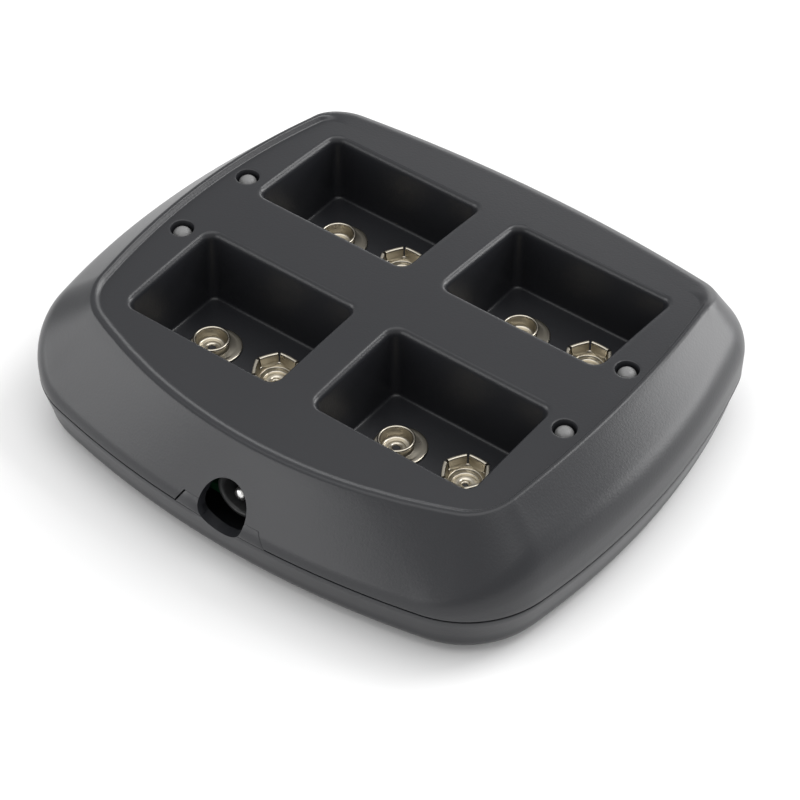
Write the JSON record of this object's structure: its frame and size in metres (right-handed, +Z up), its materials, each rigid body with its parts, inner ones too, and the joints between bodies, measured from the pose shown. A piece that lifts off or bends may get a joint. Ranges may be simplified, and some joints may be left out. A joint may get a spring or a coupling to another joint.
{
  "type": "nine-volt battery charger",
  "caption": "Low pillow-shaped desktop charger with deep rounded pockets for nine-volt batteries, snap contacts, status lamps and a barrel power socket.",
  "frame": {"origin": "on the table, under the middle of the case", "axes": "+X along the pockets' long side, +Y away from the power socket, +Z up"},
  "size_m": [0.096, 0.0822, 0.0228],
  "materials": {
    "case_plastic": "fine spark-eroded texture, charcoal grey",
    "screw_steel": "plain bright steel",
    "foot_rubber": "matt black rubber",
    "board_laminate": "green glass-fibre laminate",
    "jack_plastic": "black moulded nylon",
    "tin": "tin plate",
    "lamp_lens": "diffuse grey resin",
    "nickel": "bright nickel plate",
    "package_epoxy": "moulded epoxy",
    "capacitor_sleeve": "shrunk plastic sleeve"
  },
  "bodies": {
    "root": {"top_housing": "case_plastic", "bottom_cover": "case_plastic", "battery_well_1": "case_plastic", "battery_well_2": "case_plastic", "battery_well_3": "case_plastic", "battery_well_4": "case_plastic", "case_screw_1": "screw_steel", "case_screw_2": "screw_steel", "case_screw_3": "screw_steel", "case_screw_4": "screw_steel", "rubber_foot_1": "foot_rubber", "rubber_foot_2": "foot_rubber", "rubber_foot_3": "foot_rubber", "rubber_foot_4": "foot_rubber", "circuit_board": "board_laminate", "power_socket": "jack_plastic", "socket_centre_pin": "tin", "socket_leaf_contact": "tin", "status_lamp_1": "lamp_lens", "status_lamp_2": "lamp_lens", "status_lamp_3": "lamp_lens", "status_lamp_4": "lamp_lens", "stud_contact_1": "nickel", "stud_contact_2": "nickel", "stud_contact_3": "nickel", "stud_contact_4": "nickel", "socket_contact_1": "nickel", "socket_contact_2": "nickel", "socket_contact_3": "nickel", "socket_contact_4": "nickel", "stud_rivet_1": "nickel", "stud_rivet_2": "nickel", "stud_rivet_3": "nickel", "stud_rivet_4": "nickel", "socket_rivet_1": "nickel", "socket_rivet_2": "nickel", "socket_rivet_3": "nickel", "socket_rivet_4": "nickel", "control_chip": "package_epoxy", "voltage_regulator": "package_epoxy", "charge_transistor_1": "package_epoxy", "charge_transistor_2": "package_epoxy", "charge_transistor_3": "package_epoxy", "charge_transistor_4": "package_epoxy", "capacitor_1": "capacitor_sleeve", "capacitor_2": "capacitor_sleeve", "board_screw_1": "screw_steel", "board_screw_2": "screw_steel"}
  },
  "joints": []
}
